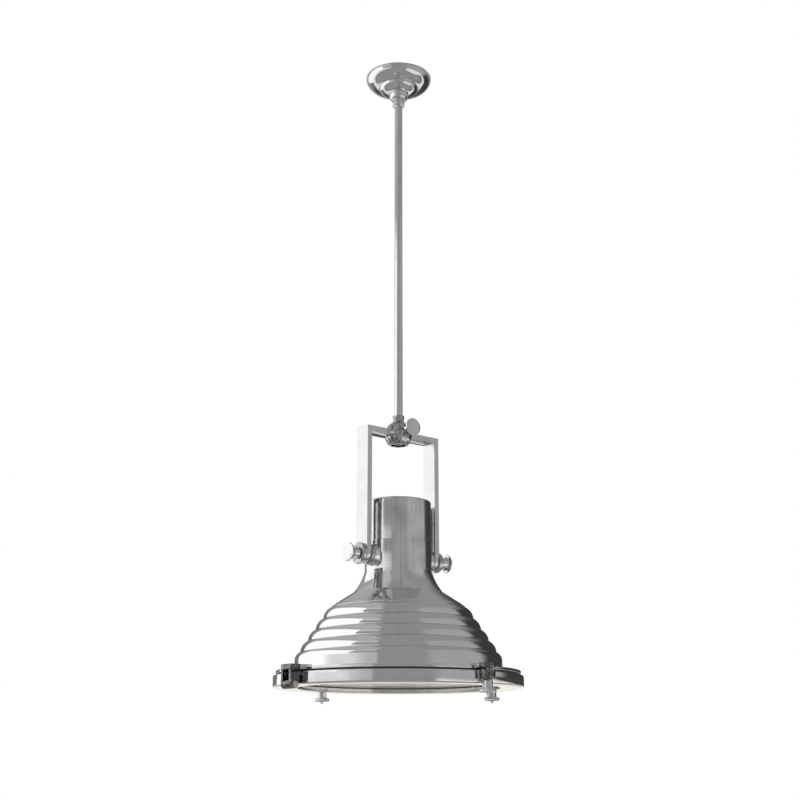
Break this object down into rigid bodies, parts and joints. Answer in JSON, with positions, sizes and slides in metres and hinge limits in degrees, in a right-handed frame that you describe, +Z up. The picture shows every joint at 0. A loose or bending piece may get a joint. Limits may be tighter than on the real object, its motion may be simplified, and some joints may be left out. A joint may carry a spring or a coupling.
{
  "type": "pendant light",
  "caption": "Chrome pendant light with a ribbed bell shade on a tilting yoke, hung by a rod from a stepped ceiling canopy; a glass lens in a hinged bezel closes the rim.",
  "frame": {"origin": "middle of the ceiling plate's upper face, where the light is fixed to the ceiling", "axes": "+Z up along the rod, X along the yoke bar and the tilt pivots, -Y towards the pan knob"},
  "size_m": [0.5035, 0.504, 1.2761],
  "materials": {
    "chrome": "bright chrome plate, mirror polished",
    "chrome_casting": "polished and chrome plated light alloy",
    "plated_steel": "zinc plated steel",
    "brass": "plain turned brass",
    "white_plastic": "off-white heat-resistant moulding",
    "cream_enamel": "warm white stove enamel",
    "black_rubber": "matt black rubber",
    "frosted_glass": "frosted bulb glass",
    "lens_glass": "clear pressed glass with a faint warm tint"
  },
  "bodies": {
    "hanger": {"ceiling_plate": "plated_steel", "hanger_nipple": "brass", "nipple_locknut": "plated_steel", "terminal_block": "white_plastic", "terminal_screws": "brass", "earth_screw": "brass", "rod": "chrome", "rod_coupler": "plated_steel", "rod_end_collar": "chrome", "swivel_stem": "plated_steel", "stop_pin": "plated_steel", "swivel_nut": "plated_steel", "supply_lead": "black_rubber"},
    "canopy_assembly": {"canopy": "chrome", "canopy_collar": "chrome", "collar_grub_screw": "plated_steel"},
    "yoke_assembly": {"hub_upper": "chrome", "hub_cup": "chrome", "swivel_washer": "plated_steel", "yoke": "chrome_casting", "yoke_lead": "black_rubber"},
    "pan_knob_body": {"pan_knob": "chrome"},
    "head": {"left_friction_bush": "plated_steel", "right_friction_bush": "plated_steel", "left_pressure_washer": "chrome", "right_pressure_washer": "chrome", "left_pivot_sleeve": "plated_steel", "right_pivot_sleeve": "plated_steel", "cap": "chrome_casting", "cap_pins": "plated_steel", "neck_casting": "chrome_casting", "bell": "chrome_casting", "bell_screws": "plated_steel", "holder_plate": "plated_steel", "plate_screws": "plated_steel", "holder_nipple": "brass", "holder_locknut": "plated_steel", "lamp_holder": "white_plastic", "holder_shell": "brass", "centre_contact": "brass", "bulb_cap": "plated_steel", "bulb_glass": "frosted_glass", "reflector": "cream_enamel", "shade": "chrome_casting", "flange_ring": "chrome_casting", "flange_screws": "plated_steel", "rim_gasket": "black_rubber", "hinge_pin": "plated_steel", "head_lead": "black_rubber"},
    "left_knob_body": {"left_tilt_knob": "chrome"},
    "right_knob_body": {"right_tilt_knob": "chrome"},
    "bezel_assembly": {"bezel": "chrome_casting", "lens_glass": "lens_glass", "lens_gasket": "black_rubber", "lens_ring": "plated_steel", "lens_ring_screws": "plated_steel", "retaining_rings": "plated_steel"},
    "front_screw_body": {"front_thumbscrew": "chrome"},
    "right_screw_body": {"right_thumbscrew": "chrome"},
    "back_screw_body": {"back_thumbscrew": "chrome"}
  },
  "joints": [
    {"name": "canopy_drop", "type": "slide", "parent": "hanger", "child": "canopy_assembly", "axis": [0, 0, -1], "range_m": [0, 0.25]},
    {"name": "yoke_pan", "type": "hinge", "parent": "hanger", "child": "yoke_assembly", "pos_m": [0, 0, -0.777], "axis": [0, 0, 1], "range_deg": [-155, 155]},
    {"name": "pan_knob_turn", "type": "hinge", "parent": "yoke_assembly", "child": "pan_knob_body", "pos_m": [0, -0.03, -0.768], "axis": [0, -1, 0], "continuous": true},
    {"name": "head_tilt", "type": "hinge", "parent": "yoke_assembly", "child": "head", "pos_m": [0, 0, -1.0155], "axis": [1, 0, 0], "range_deg": [-90, 90]},
    {"name": "left_knob_turn", "type": "hinge", "parent": "head", "child": "left_knob_body", "pos_m": [-0.11, 0, -1.0155], "axis": [-1, 0, 0], "continuous": true},
    {"name": "right_knob_turn", "type": "hinge", "parent": "head", "child": "right_knob_body", "pos_m": [0.11, 0, -1.0155], "axis": [1, 0, 0], "continuous": true},
    {"name": "bezel_open", "type": "hinge", "parent": "head", "child": "bezel_assembly", "pos_m": [-0.243, 0, -1.256], "axis": [0, 1, 0], "range_deg": [0, 95]},
    {"name": "front_screw_turn", "type": "hinge", "parent": "bezel_assembly", "child": "front_screw_body", "pos_m": [0, -0.237, -1.25], "axis": [0, 0, -1], "continuous": true},
    {"name": "right_screw_turn", "type": "hinge", "parent": "bezel_assembly", "child": "right_screw_body", "pos_m": [0.237, 0, -1.25], "axis": [0, 0, -1], "continuous": true},
    {"name": "back_screw_turn", "type": "hinge", "parent": "bezel_assembly", "child": "back_screw_body", "pos_m": [0, 0.237, -1.25], "axis": [0, 0, -1], "continuous": true}
  ]
}
